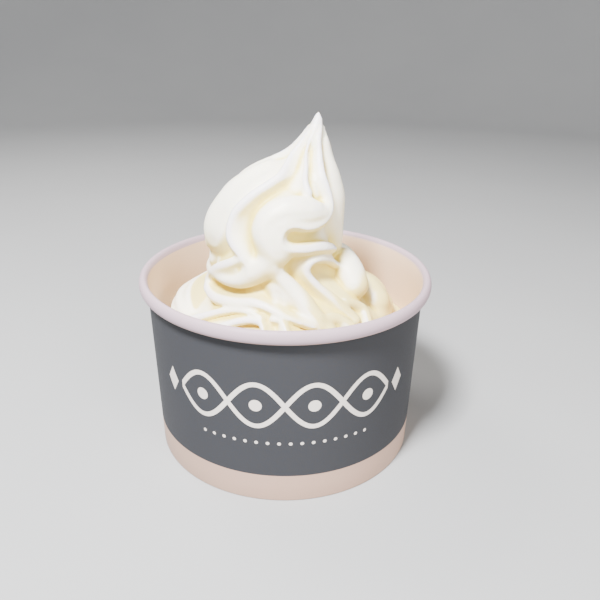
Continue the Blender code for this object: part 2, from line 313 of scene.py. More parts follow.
def makeTurnTree():
    # turns a profile about Z: radius in X, height in Z, and in Y whether the glued seam thickens it
    tree = bpy.data.node_groups.new("turnPaper", "GeometryNodeTree")
    given, made = addSockets(
        tree,
        [
            ("Profile", "Geometry", None),
            ("Steps Around", "Int", 256),
            ("Seam Angle", "Float", 2.8),
            ("Seam Width", "Float", 0.1),
            ("Seam Step", "Float", 0.0),
            ("Wobble", "Float", 0.0),
            ("Material", "Material", None),
        ],
        [("Geometry", "Geometry")],
    )
    rows = addNode(tree, "GeometryNodeAttributeDomainSize", {"Geometry": given["Profile"]}).outputs["Point Count"]
    columns = calc(tree, "ADD", given["Steps Around"], 1.0)
    grid = addNode(tree, "GeometryNodeMeshGrid", {"Vertices X": columns, "Vertices Y": rows})
    place = tree.nodes.new("GeometryNodeInputPosition").outputs[0]
    split = addNode(tree, "ShaderNodeSeparateXYZ", {"Vector": place}).outputs
    turn = calc(tree, "MULTIPLY", calc(tree, "ADD", split["X"], 0.5), 2 * math.pi)
    lastRow = calc(tree, "SUBTRACT", rows, 1.0)
    row = calc(tree, "ROUND", calc(tree, "MULTIPLY", calc(tree, "ADD", split["Y"], 0.5), lastRow))
    sample = addNode(tree, "GeometryNodeSampleIndex", data_type="FLOAT_VECTOR", domain="POINT")
    feed(tree, sample.inputs["Geometry"], given["Profile"])
    feed(tree, sample.inputs["Value"], place)
    feed(tree, sample.inputs["Index"], row)
    point = addNode(tree, "ShaderNodeSeparateXYZ", {"Vector": sample.outputs["Value"]}).outputs
    # the lap: the outer sheet climbs over the inner one, then ends in a step
    past = calc(tree, "DIVIDE", calc(tree, "SUBTRACT", turn, given["Seam Angle"]), given["Seam Width"])
    climb = calc(tree, "MULTIPLY", calc(tree, "MINIMUM", calc(tree, "MAXIMUM", past, 0.0), 1.0), calc(tree, "LESS_THAN", past, 1.0))
    lift = calc(tree, "MULTIPLY", calc(tree, "MULTIPLY", climb, given["Seam Step"]), point["Y"])
    sway = calc(tree, "ADD", calc(tree, "SINE", calc(tree, "MULTIPLY", turn, 2.0)), calc(tree, "SINE", calc(tree, "MULTIPLY_ADD", turn, 3.0, 1.1)))
    sway = calc(tree, "MULTIPLY", calc(tree, "MULTIPLY", sway, given["Wobble"]), calc(tree, "MULTIPLY", point["Z"], 1 / cup["height"]))
    reach = calc(tree, "ADD", calc(tree, "ADD", point["X"], lift), sway)
    reach = calc(tree, "MULTIPLY", reach, calc(tree, "GREATER_THAN", point["X"], 1e-6))
    x = calc(tree, "MULTIPLY", reach, calc(tree, "SINE", turn))
    y = calc(tree, "MULTIPLY", reach, calc(tree, "MULTIPLY", calc(tree, "COSINE", turn), -1.0))
    target = addNode(tree, "ShaderNodeCombineXYZ", {"X": x, "Y": y, "Z": point["Z"]}).outputs[0]
    moved = addNode(tree, "GeometryNodeSetPosition", {"Geometry": grid.outputs["Mesh"], "Position": target})
    closed = addNode(tree, "GeometryNodeMergeByDistance", {"Geometry": moved.outputs[0], "Distance": 1e-6})
    smooth = addNode(tree, "GeometryNodeSetShadeSmooth", {"Geometry": closed.outputs[0], "Shade Smooth": True})
    real = addNode(tree, "GeometryNodeRealizeInstances", {"Geometry": smooth.outputs[0]})
    painted = addNode(tree, "GeometryNodeSetMaterial", {"Geometry": real.outputs[0], "Material": given["Material"]})
    tree.links.new(painted.outputs[0], made["Geometry"])
    return tree


def runTree(piece, tree, values):
    # sets the named inputs, evaluates the tree once and keeps the result as a plain mesh
    modifier = piece.modifiers.new(tree.name, "NODES")
    modifier.node_group = tree
    for item in tree.interface.items_tree:
        if item.item_type == "SOCKET" and item.in_out == "INPUT" and item.name in values:
            modifier[item.identifier] = values[item.name]
    graph = bpy.context.evaluated_depsgraph_get()
    mesh = bpy.data.meshes.new_from_object(piece.evaluated_get(graph))
    piece.modifiers.clear()
    old = piece.data
    piece.data = mesh
    bpy.data.meshes.remove(old)
    mesh.name = piece.name
    return piece


def faceOutwards(piece, sharpDegrees=None):
    shape = bmesh.new()
    shape.from_mesh(piece.data)
    bmesh.ops.dissolve_degenerate(shape, dist=1e-7, edges=shape.edges)
    bmesh.ops.recalc_face_normals(shape, faces=shape.faces)
    shape.to_mesh(piece.data)
    shape.free()
    if sharpDegrees is not None:
        piece.data.set_sharp_from_angle(angle=math.radians(sharpDegrees))


def makeTurned(name, profile, tree, material, **values):
    mesh = bpy.data.meshes.new(name)
    points = [(r, outside, z) for r, z, outside in profile]
    mesh.from_pydata(points, [(i, i + 1) for i in range(len(points) - 1)], [])
    piece = bpy.data.objects.new(name, mesh)
    bpy.context.scene.collection.objects.link(piece)
    values = {"Steps Around": cup["stepsAround"], "Material": material, **values}
    runTree(piece, tree, values)
    faceOutwards(piece, 40)
    return piece


# ---- paper and print

def makeAroundGroup():
    # where a point is on the cup: arc from the front measured on the wall, distance from the axis, height
    tree = bpy.data.node_groups.new("placeOnCup", "ShaderNodeTree")
    given, made = addSockets(tree, [("Wall Radius", "Float", 0.044)], [("Arc", "Float"), ("Reach", "Float"), ("Height", "Float")])
    where = tree.nodes.new("ShaderNodeTexCoord").outputs["Object"]
    split = addNode(tree, "ShaderNodeSeparateXYZ", {"Vector": where}).outputs
    angle = calc(tree, "ARCTAN2", split["X"], calc(tree, "MULTIPLY", split["Y"], -1.0))
    flat = calc(tree, "ADD", calc(tree, "POWER", split["X"], 2.0), calc(tree, "POWER", split["Y"], 2.0))
    tree.links.new(calc(tree, "MULTIPLY", angle, given["Wall Radius"]), made["Arc"])
    tree.links.new(calc(tree, "SQRT", flat), made["Reach"])
    tree.links.new(split["Z"], made["Height"])
    return tree


def makeFibreGroup():
    # coated board: faint fibres, a slow unevenness, and a few darker flecks
    tree = bpy.data.node_groups.new("boardFibre", "ShaderNodeTree")
    given, made = addSockets(
        tree,
        [("Fibre Scale", "Float", 1600.0), ("Wave Scale", "Float", 90.0), ("Relief", "Float", 0.1), ("Mottle", "Float", 0.05)],
        [("Shade", "Float"), ("Grain", "Float"), ("Normal", "Vector")],
    )
    where = tree.nodes.new("ShaderNodeTexCoord").outputs["Object"]
    fibre = addNode(tree, "ShaderNodeTexNoise", {"Vector": where, "Scale": given["Fibre Scale"], "Detail": 4.0, "Distortion": 0.6})
    wave = addNode(tree, "ShaderNodeTexNoise", {"Vector": where, "Scale": given["Wave Scale"], "Detail": 2.0})
    height = calc(tree, "ADD", calc(tree, "MULTIPLY", fibre.outputs["Fac"], 0.35), wave.outputs["Fac"])
    bump = addNode(tree, "ShaderNodeBump", {"Height": height, "Strength": given["Relief"], "Distance": 0.0006})
    both = calc(tree, "ADD", calc(tree, "MULTIPLY", fibre.outputs["Fac"], 0.5), calc(tree, "MULTIPLY", wave.outputs["Fac"], 0.5))
    shade = calc(tree, "MULTIPLY_ADD", calc(tree, "SUBTRACT", both, 0.5), given["Mottle"], 1.0)
    tree.links.new(shade, made["Shade"])
    tree.links.new(fibre.outputs["Fac"], made["Grain"])
    tree.links.new(bump.outputs["Normal"], made["Normal"])
    return tree


def makeChainGroup():
    # the ornament: crossing waves with a dot in each eye, a lozenge at each end and a row of beads below
    tree = bpy.data.node_groups.new("chainOrnament", "ShaderNodeTree")
    names = [("Arc", 0.0), ("Height", 0.0)] + [(key, printBand[key]) for key in (
        "centre", "waveHeight", "wavePitch", "stroke", "dotRadius", "gemWidth", "gemHeight", "gemGap",
        "beadPitch", "beadRadius", "beadHeight", "beadReach", "inkEdge")]
    given, made = addSockets(tree, [(name, "Float", value) for name, value in names], [("Ink", "Float")])
    side = calc(tree, "ABSOLUTE", given["Arc"])
    level = calc(tree, "ABSOLUTE", calc(tree, "SUBTRACT", given["Height"], given["centre"]))
    pitch = given["wavePitch"]
    reach = calc(tree, "MULTIPLY", pitch, printBand["waves"] / 2)
    phase = calc(tree, "MULTIPLY", calc(tree, "DIVIDE", given["Arc"], pitch), math.pi)
    wave = calc(tree, "MULTIPLY", calc(tree, "ABSOLUTE", calc(tree, "SINE", phase)), given["waveHeight"])
    steep = calc(tree, "MULTIPLY", calc(tree, "COSINE", phase), calc(tree, "MULTIPLY", calc(tree, "DIVIDE", given["waveHeight"], pitch), math.pi))
    stretch = calc(tree, "SQRT", calc(tree, "MULTIPLY_ADD", steep, steep, 1.0))
    offLine = calc(tree, "DIVIDE", calc(tree, "ABSOLUTE", calc(tree, "SUBTRACT", level, wave)), stretch)
    halfStroke = calc(tree, "MULTIPLY", given["stroke"], 0.5)

    def within(distance, size):
        # 1 inside the edge, 0 outside it
        edge = calc(tree, "DIVIDE", calc(tree, "SUBTRACT", size, distance), given["inkEdge"])
        return calc(tree, "ADD", edge, 0.5, clamp=True)

    line = calc(tree, "MULTIPLY", within(offLine, halfStroke), within(side, reach))
    eye = calc(tree, "SUBTRACT", calc(tree, "PINGPONG", given["Arc"], pitch), calc(tree, "MULTIPLY", pitch, 0.5))
    eyeDistance = calc(tree, "SQRT", calc(tree, "ADD", calc(tree, "POWER", eye, 2.0), calc(tree, "POWER", level, 2.0)))
    dot = calc(tree, "MULTIPLY", within(eyeDistance, given["dotRadius"]), within(side, reach))
    fromGem = calc(tree, "ABSOLUTE", calc(tree, "SUBTRACT", side, calc(tree, "ADD", reach, given["gemGap"])))
    gemShape = calc(tree, "ADD", calc(tree, "DIVIDE", fromGem, given["gemWidth"]), calc(tree, "DIVIDE", level, given["gemHeight"]))
    gem = within(calc(tree, "MULTIPLY", gemShape, given["gemWidth"]), given["gemWidth"])
    beadX = calc(tree, "SUBTRACT", calc(tree, "PINGPONG", given["Arc"], given["beadPitch"]), calc(tree, "MULTIPLY", given["beadPitch"], 0.5))
    beadZ = calc(tree, "SUBTRACT", given["Height"], given["beadHeight"])
    beadDistance = calc(tree, "SQRT", calc(tree, "ADD", calc(tree, "POWER", beadX, 2.0), calc(tree, "POWER", beadZ, 2.0)))
    bead = calc(tree, "MULTIPLY", within(beadDistance, given["beadRadius"]), within(side, given["beadReach"]))
    ink = calc(tree, "MAXIMUM", calc(tree, "MAXIMUM", line, dot), calc(tree, "MAXIMUM", gem, bead))
    tree.links.new(ink, made["Ink"])
    return tree


paperLook = {
    "slate": (0.0275, 0.029, 0.0345, 1),
    "slateWarm": (0.030, 0.030, 0.033, 1),
    "ink": (0.62, 0.57, 0.53, 1),
    "bare": (0.41, 0.27, 0.205, 1),
    "rim": (0.385, 0.285, 0.325, 1),
    "inside": (0.62, 0.44, 0.30, 1),
    "printRoughness": 0.66,
    "bareRoughness": 0.5,
    "insideRoughness": 0.33,
}


def makePrintedBoard(around, fibre, chain):
    paper = bpy.data.materials.new("printedBoard")
    paper.use_nodes = True
    tree = paper.node_tree
    shader = tree.nodes["Principled BSDF"]
    place = useGroup(tree, around, **{"Wall Radius": (cup["footRadius"] + cup["neckRadius"]) / 2})
    grain = useGroup(tree, fibre, **{"Fibre Scale": 1500.0, "Wave Scale": 70.0, "Relief": 0.12, "Mottle": 0.10})
    # outside the middle of the wall's thickness, and below the roll
    slope = (cup["neckRadius"] - cup["footRadius"]) / (cup["height"] - cup["rollHeight"])
    skin = calc(tree, "MULTIPLY_ADD", place["Height"], slope, cup["footRadius"] - cup["paper"] / 2)
    outside = calc(tree, "GREATER_THAN", place["Reach"], skin)
    rollFoot = cup["height"] - cup["rollHeight"] * 0.93
    wobble = calc(tree, "MULTIPLY_ADD", grain["Grain"], 0.00006, -0.00003)
    level = calc(tree, "ADD", place["Height"], wobble)
    aboveBand = ramp(tree, level, printBand["lowEdge"] - 0.00006, printBand["lowEdge"] + 0.00006)
    belowRoll = ramp(tree, level, rollFoot, rollFoot + 0.0002, 1.0, 0.0)
    field = calc(tree, "MULTIPLY", calc(tree, "MULTIPLY", aboveBand, belowRoll), outside)
    # the same ornament faces the front and the back
    half = math.pi * (cup["footRadius"] + cup["neckRadius"]) / 2
    arc = calc(tree, "SUBTRACT", calc(tree, "WRAP", place["Arc"], half / 2, -half / 2), 0.0)
    ink = calc(tree, "MULTIPLY", useGroup(tree, chain, Arc=arc, Height=level)["Ink"], field)
    slate = mixColour(tree, ramp(tree, grain["Grain"], 0.35, 0.65), paperLook["slate"], paperLook["slateWarm"])
    overRim = ramp(tree, place["Height"], rollFoot, rollFoot + 0.0006)
    bare = mixColour(tree, overRim, paperLook["bare"], paperLook["rim"])
    lining = mixColour(tree, ramp(tree, place["Height"], cup["height"] - 0.0022, cup["height"] - 0.0006), paperLook["inside"], paperLook["rim"])
    board = mixColour(tree, outside, lining, bare)
    board = mixColour(tree, field, board, slate)
    board = mixColour(tree, ink, board, paperLook["ink"])
    shade = addNode(tree, "ShaderNodeCombineColor", {"Red": grain["Shade"], "Green": grain["Shade"], "Blue": grain["Shade"]})
    feed(tree, shader.inputs["Base Color"], mixColour(tree, 1.0, board, shade.outputs[0], "MULTIPLY"))
    gloss = calc(tree, "MULTIPLY_ADD", outside, paperLook["bareRoughness"] - paperLook["insideRoughness"], paperLook["insideRoughness"])
    gloss = calc(tree, "MULTIPLY_ADD", field, paperLook["printRoughness"] - paperLook["bareRoughness"], gloss)
    gloss = calc(tree, "ADD", gloss, calc(tree, "MULTIPLY_ADD", grain["Grain"], 0.16, -0.08))
    feed(tree, shader.inputs["Roughness"], gloss)
    feed(tree, shader.inputs["Normal"], grain["Normal"])
    shader.inputs["Specular IOR Level"].default_value = 0.2
    return paper


def makePlainBoard(around, fibre):
    paper = bpy.data.materials.new("plainBoard")
    paper.use_nodes = True
    tree = paper.node_tree
    shader = tree.nodes["Principled BSDF"]
    grain = useGroup(tree, fibre, **{"Fibre Scale": 1300.0, "Wave Scale": 60.0, "Relief": 0.2, "Mottle": 0.16})
    place = useGroup(tree, around)
    edge = ramp(tree, place["Reach"], baseHigh.x * 0.86, baseHigh.x)
    board = mixColour(tree, edge, paperLook["bare"], (0.66, 0.57, 0.52, 1))
    shade = addNode(tree, "ShaderNodeCombineColor", {"Red": grain["Shade"], "Green": grain["Shade"], "Blue": grain["Shade"]})
    feed(tree, shader.inputs["Base Color"], mixColour(tree, 1.0, board, shade.outputs[0], "MULTIPLY"))
    feed(tree, shader.inputs["Roughness"], calc(tree, "MULTIPLY_ADD", grain["Grain"], 0.2, 0.42))
    feed(tree, shader.inputs["Normal"], grain["Normal"])
    return paper


placeOnCup = makeAroundGroup()
boardFibre = makeFibreGroup()
chainOrnament = makeChainGroup()
printedBoard = makePrintedBoard(placeOnCup, boardFibre, chainOrnament)
plainBoard = makePlainBoard(placeOnCup, boardFibre)
turnPaper = makeTurnTree()
cupWall = makeTurned(
    "cupWallBoard",
    wallProfile(),
    turnPaper,
    printedBoard,
    **{
        "Seam Angle": cup["seamAngle"],
        "Seam Width": cup["seamWidth"],
        "Seam Step": cup["seamStep"],
        "Wobble": cup["wobble"],
    },
)
cupBase = makeTurned("cupBaseBoard", baseProfile(), turnPaper, plainBoard)
print("cup wall", len(cupWall.data.polygons), "faces, base", len(cupBase.data.polygons))


# ---- the frozen yogurt

yogurt = {
    "cell": 0.5,  # mm between grid points
    "gridLow": (-46.0, -46.0, 33.0),
    "gridHigh": (46.0, 46.0, 112.0),
    "valleyDepth": 5.6,
    "valleyWidth": 5.2,
    "valleyPower": 1.3,
    "valleyShare": 0.40,
    "plainTip": 108.5,
    "tipFade": 15.0,
    "crestInset": 0.4,
    "smoothing": 0.8,
    "easeRounds": 1,
    "lapStep": 3.0,  # how much further away a valley seems on the side that a fold laps over
    "hardMelt": 0.5,
    "meltReach": 2.2,  # melt width that a thin fold may have, against its radius
    # reach of the measure for painted crease shade and painted ridge tone
    "creaseShadeReach": 1.3,
    # the measure for painted shade: its reach, how far ahead of and above the surface it looks, and how much downward
    # faces and the low right-facing side add to it
    "paintedShadeReach": 3.2,
    "paintedShadeAhead": 3.0,
    "paintedShadeAbove": 1.0,
    "paintedShadeUnder": 0.5,
    "paintedShadeLow": 0.85,
    "fillTop": 38.0,  # where the filling meets the wall
    "fillCrown": 7.0,
    "intoWall": 0.15,
    "foot": yogurtLow.z / mm,
    "rippleDepth": 0.05 * mm,
    "rippleScale": 260.0,
}

# outer shape of the swirl from tip to root: height, radius, sideways lean (mm)
swirlShape = [
    (110.0, 0.2, 9.5),
    (109.0, 1.0, 9.4),
    (105.5, 2.6, 8.9),
    (99.0, 6.0, 7.3),
    (96.0, 8.6, 5.7),
    (91.4, 14.2, 2.0),
    (88.2, 17.2, 0.1),
    (82.4, 20.7, -2.1),
    (73.2, 22.4, -4.0),
    (66.0, 22.0, -4.0),
    (61.0, 23.0, -2.0),
    (56.0, 26.0, 0.4),
    (52.5, 29.0, 0.5),
    (48.0, 34.5, 0.0),
    (44.5, 38.3, 0.0),
    (40.0, 40.6, 0.0),
    (36.0, 41.5, 0.0),
]

# folds over that shape: (angle from the front, height, radius, how far it stands proud), in degrees and mm.
# melt is how widely a fold runs into its surroundings, and lap is the side, going along it and seen from outside,
# where it lies over its neighbour with a hard edge. A crest keeps the body full beside it, down to its inset
folds = {
    "leftShoulder": {"melt": 3.5, "crest": False, "route": [
        (-88, 93, 2.0, -1.8), (-91, 87, 4.2, -2.4), (-92, 80, 7, -1.6), (-91, 75, 7.6, -0.4), (-92, 70, 7.0),
        (-94, 65, 6.0), (-96, 61, 5.0)]},
    "leftField": {"tube": False, "inset": 1.5, "full": 6.5, "route": [
        (-72, 90, 1), (-67, 86, 1), (-67, 82, 1), (-68, 78, 1), (-68, 76, 1)]},
    "leftUnder": {"melt": 2.0, "cut": True, "route": [
        (-92, 64.8, 1.4, 1.0), (-76, 65.6, 1.7, 1.2), (-62, 67.0, 1.6, 1.1), (-50, 68.6, 1.0, 0.7)]},
    "rightShoulder": {"melt": 2.0, "crest": False, "route": [
        (82, 101, 0.8), (87, 95, 2.5), (91, 88, 4.5), (93, 82, 6.0), (92, 75, 6.2), (90, 68, 4.5)]},
    "longRidge": {"melt": 2.6, "lap": "right", "route": [
        (-20, 108.0, 0.3), (-38, 106.0, 0.4), (-56, 103.0, 0.7), (-55, 98.8, 0.9), (-36, 95.6, 1.1, 0.4), (-24, 93.0, 1.2, 0.6), (-27, 90.8, 1.2, 0.6),
        (-35, 87.4, 1.3, 0.7), (-40, 83.5, 1.3, 0.6), (-40.5, 80, 1.3, 0.4), (-38, 76.6, 1.4, 0.2), (-33, 73.5, 1.7), (-26, 70.6, 1.9),
        (-20, 68, 2.2), (-18, 65.5, 2.4)]},
    "frontLip": {"melt": 2.0, "lap": "right", "route": [
        (-62, 62.2, 1.5, 1.0), (-52, 61.9, 1.7, 1.2), (-41, 62.0, 2.1, 1.3), (-31, 62.7, 2.6, 1.4), (-23, 63.9, 3.2, 1.4),
        (-13, 66.0, 3.8, 1.2), (-4, 68.6, 3.8, 0.8), (7, 71.3, 3.2, 0.4)]},
    "leftHook": {"melt": 1.6, "lap": "right", "route": [
        (-26, 69.6, 1.8, 0.2), (-36, 67.4, 1.8, 0.6), (-50, 64.9, 1.7, 0.9), (-62, 62.6, 1.6, 1.0), (-72, 60.3, 1.6, 1.1),
        (-78, 57.4, 1.6, 1.2), (-73, 55.4, 1.6, 1.1)]},
    "tongue": {"tube": False, "inset": 0.0, "route": [(-30, 66, 1), (-42, 64.4, 1), (-54, 62.6, 1), (-66, 60.6, 1)]},
    "leftHookRim": {"melt": 2.0, "lap": "right", "route": [
        (-78, 57.4, 1.6, 1.2), (-73, 55.4, 1.7, 1.1), (-60, 54.7, 1.9, 0.9), (-46, 55.2, 2.0, 0.7), (-33, 56.0, 2.0, 0.5),
        (-24, 56.6, 1.9, 0.4), (-15, 56.2, 1.8, 0.3), (-8, 55.2, 1.7, 0.2), (3, 53.6, 1.6), (14, 52.1, 1.6), (26, 50.4, 1.4)]},
    "faintRidge": {"melt": 3.0, "inset": 1.0, "route": [
        (30, 108.2, 0.3), (-10, 104.6, 0.4), (-16, 99.8, 0.5), (6, 94.8, 0.6), (17, 90.8, 0.8), (23, 88.6, 1.0)]},
    "upperField": {"tube": False, "inset": 1.4, "route": [(20, 100, 1), (26, 95.5, 1), (31, 91.5, 1), (37, 87.5, 1)]},
    "archTop": {"melt": 2.2, "lap": "right", "route": [(34, 84.6, 1.4), (26, 85.2, 1.8), (17, 85.4, 2.0), (6, 85.2, 2.2)]},
    "arch": {"melt": 2.4, "route": [
        (27, 84.4, 2.2), (16, 84.8, 2.4), (5, 84.6, 2.7), (-4, 83.6, 3), (-9.5, 81.2, 3), (-9.5, 78.4, 3), (-5, 75, 3),
        (2, 71.5, 3)]},
    "middleLobe": {"melt": 3.0, "route": [
        (40, 82.8, 2), (27, 82.4, 3), (14, 82.6, 4), (4, 81.2, 4.5), (-1, 78.5, 4.5), (2, 74, 4)]},
    "rightHook": {"melt": 2.4, "lap": "left", "route": [
        (60, 107.6, 0.3), (42, 105.6, 0.4), (26, 102.3, 0.8), (31, 98.0, 1.0), (39, 93.6, 1.2), (47, 89.4, 1.4), (50.5, 86.0, 1.6),
        (49.5, 82.8, 1.7), (44, 80.4, 1.8), (36, 79.2, 1.8), (26, 79.0, 1.7), (16, 79.9, 1.5), (9, 79.6, 1.5),
        (6.5, 77.6, 1.5), (8, 75.2, 1.6), (14, 73.6, 1.7), (24, 72.9, 1.8), (36, 72.6, 1.9), (47, 71.9, 1.8),
        (56, 71, 1.5, -0.4), (64, 70, 1.2, -0.8)]},
    "lowerHook": {"melt": 1.5, "lap": "left", "route": [
        (68, 63.5, 1.0, -0.8), (59, 66.0, 1.3, -0.2), (47, 67.9, 1.4), (38, 68.4, 1.3), (32, 67.8, 1.2), (29.5, 66.0, 1.2),
        (29.5, 63.8, 1.2), (31.5, 61.2, 1.3), (35, 58.6, 1.4), (38.5, 56.0, 1.5), (42.5, 53.4, 1.5), (46, 50.8, 1.5)]},
    "frontPanel": {"melt": 3.0, "lap": "left", "inset": 0.3, "route": [
        (4, 66.6, 2.0, 0.4), (7, 63.2, 2.6, 0.7), (10.5, 59.8, 3.0, 0.8), (14, 56.4, 3.0, 0.8), (20, 53.0, 2.5, 0.5)]},
    "panelField": {"tube": False, "inset": 0.6, "full": 1.5, "route": [(-2, 60, 1), (-3, 57.5, 1)]},
    "rightMouth": {"melt": 0.7, "cut": True, "route": [(38, 75.9, 1.6, 0.6), (28, 76.2, 1.7, 0.5), (17, 76.7, 1.3, 0.3)]},
    "leftMouth": {"melt": 0.5, "cut": True, "route": [
        (-26, 60.3, 0.4, 1.2), (-38, 59.6, 0.5, 1.4), (-50, 59.5, 0.6, 1.4), (-62, 59.4, 0.6, 1.2)]},
    "lowerMouth": {"melt": 0.7, "cut": True, "route": [(56, 63.4, 1.3, 0.4), (48, 64.6, 1.3, 0.4), (40, 65.6, 1.0, 0.2)]},
    "rightLobe": {"melt": 1.0, "crest": False, "route": [
        (112, 60.5, 4.5, 0.5), (98, 61.8, 3.8, 1.4), (90, 62, 4.4, 3.0), (82, 61, 5.0, 3.8), (76, 59.5, 5.2, 3.8), (70, 57, 4.8, 2.4)]},
    "farRightLobe": {"melt": 0.8, "crest": False, "route": [(106, 50, 5.5, 0), (98, 49.5, 6, 0.5), (90, 47.5, 5.5, 0)]},
    "lowLeft": {"melt": 1.0, "lap": "right", "route": [
        (-66, 46.5, 1.6), (-58, 49.2, 1.5), (-51, 51.3, 1.3), (-43, 53.0, 1.2), (-34, 54.2, 1.1), (-24, 54.4, 1.0), (-16, 53.6, 0.9)]},
    "lowMiddle": {"melt": 0.9, "lap": "right", "route": [
        (-46, 47.5, 1.6), (-38, 49.8, 1.4), (-31, 51.6, 1.2), (-23, 52.6, 1.1), (-16, 52.4, 1.0), (-13, 50.8, 0.9)]},
    "lowFront": {"melt": 0.7, "route": [(-9, 53.6, 0.9), (-4, 53.3, 1.0), (-1, 51.6, 1.2), (2, 48.5, 1.5)]},
    "lowRight": {"melt": 0.8, "route": [(20, 52.6, 1.1), (28, 52.8, 1.4), (35, 51.8, 1.6), (40, 49.5, 1.8)]},
    "lowOuter": {"melt": 0.8, "route": [(45, 55.2, 1.3), (53, 53.6, 1.6), (57, 51.4, 1.8), (53, 48.8, 1.8)]},
}

backRidges = {  # ridges down the back, each swept the same way: (height, swing, radius)
    "angles": (-116, -158, 160, 112),
    "sweep": [(105, 0, 0.5), (99, 7, 1.0), (92, 2, 1.5), (85, -8, 1.8), (77, -14, 2.0), (70, -10, 2.2), (64, -2, 2.2), (60, 4, 2.0)],
}

coils = {  # coils that run round behind: first angle, last angle, height, distance from the axis, radius
    "upperCoil": (100, 272, 57.0, 22.0, 5.6),
    "lowerCoil": (80, 300, 42.5, 29.5, 9.0),
}

coilRidges = {"angles": (80, 44, 8), "radius": 1.5, "wander": 9.0, "points": 13}


def smoothTable(x, level, value):
    # monotone cubic through the table's points
    span = np.diff(level)
    rise = np.diff(value) / span
    slope = np.zeros_like(value)
    steady = rise[:-1] * rise[1:] > 0
    slope[1:-1] = np.where(steady, 2 * rise[:-1] * rise[1:] / np.where(steady, rise[:-1] + rise[1:], 1), 0)
    slope[0], slope[-1] = rise[0], rise[-1]
    i = np.clip(np.searchsorted(level, x) - 1, 0, len(level) - 2)
    t = (np.clip(x, level[0], level[-1]) - level[i]) / span[i]
    start = (2 * t**3 - 3 * t**2 + 1) * value[i] + (t**3 - 2 * t**2 + t) * span[i] * slope[i]
    return start + (3 * t**2 - 2 * t**3) * value[i + 1] + (t**3 - t**2) * span[i] * slope[i + 1]


def shapeAt(height):
    table = np.array(swirlShape[::-1])
    return smoothTable(height, table[:, 0], table[:, 1]), smoothTable(height, table[:, 0], table[:, 2])


def smoothRoute(route, steps):
    # Catmull-Rom through the route; missing values at the end of a point are 0
    points = np.array([tuple(p) + (0.0,) * (4 - len(p)) for p in route], float)
    points = np.vstack([2 * points[0] - points[1], points, 2 * points[-1] - points[-2]])
    found = []
    for i in range(1, len(points) - 2):
        p0, p1, p2, p3 = points[i - 1 : i + 3]
        for s in np.arange(steps) / steps:
            bend = 2 * p0 - 5 * p1 + 4 * p2 - p3
            found.append(0.5 * (2 * p1 + (p2 - p0) * s + bend * s**2 + (3 * p1 - p0 - 3 * p2 + p3) * s**3))
    found.append(points[-2])
    return np.array(found)


def coilRoute(first, last, height, reach, radius, above=None):
    # a coil's centre line or, with an angle above level, a ridge along its outer side
    route = []
    for i in range(coilRidges["points"]):
        t = i / (coilRidges["points"] - 1)
        fade = math.sin(math.pi * min(0.12 + 2.2 * min(t, 1 - t), 0.5))
        size, lift, push = radius * fade, 0.0, 0.0
        if above is not None:
            tilt = math.radians(above + coilRidges["wander"] * math.sin(7 * t + above))
            lift, push = (size - 0.5) * math.sin(tilt), (size - 0.5) * math.cos(tilt)
            size = coilRidges["radius"] * (0.4 + 0.6 * fade)
        route.append((first + (last - first) * t, height + lift, size, reach + push))
    return route


lapSign = {"right": 1, "left": -1, None: 0}


def allFolds():
    plain = {"melt": 1.6, "crest": True, "inset": 0.0, "full": 0.0, "tube": True, "cut": False, "free": False, "lap": None}
    made = {name: {**plain, **fold} for name, fold in folds.items()}
    for angle in backRidges["angles"]:
        turn = -1 if angle > 0 else 1
        route = [(angle + turn * swing, z, r) for z, swing, r in backRidges["sweep"]]
        made[f"backRidge{angle}"] = {**plain, "melt": 2.0, "route": route}
    for name, coil in coils.items():
        made[name] = {**plain, "melt": 1.6, "crest": False, "free": True, "route": coilRoute(*coil)}
        for above in coilRidges["angles"]:
            route = coilRoute(*coil, above)
            made[f"{name}Ridge{above}"] = {**plain, "melt": 1.8, "crest": False, "free": True, "route": route}
    return made


class Grid:
    # the points at which the yogurt's distance field is kept, in mm
    def __init__(self):
        self.low = np.array(yogurt["gridLow"])
        self.cell = yogurt["cell"]
        self.count = np.ceil((np.array(yogurt["gridHigh"]) - self.low) / self.cell).astype(int) + 1
        self.x, self.y, self.z = (self.low[k] + self.cell * np.arange(self.count[k]) for k in range(3))

    def block(self, lowest, highest):
        start = np.maximum(np.floor((lowest - self.low) / self.cell).astype(int), 0)
        end = np.minimum(np.ceil((highest - self.low) / self.cell).astype(int) + 1, self.count)
        return start, end


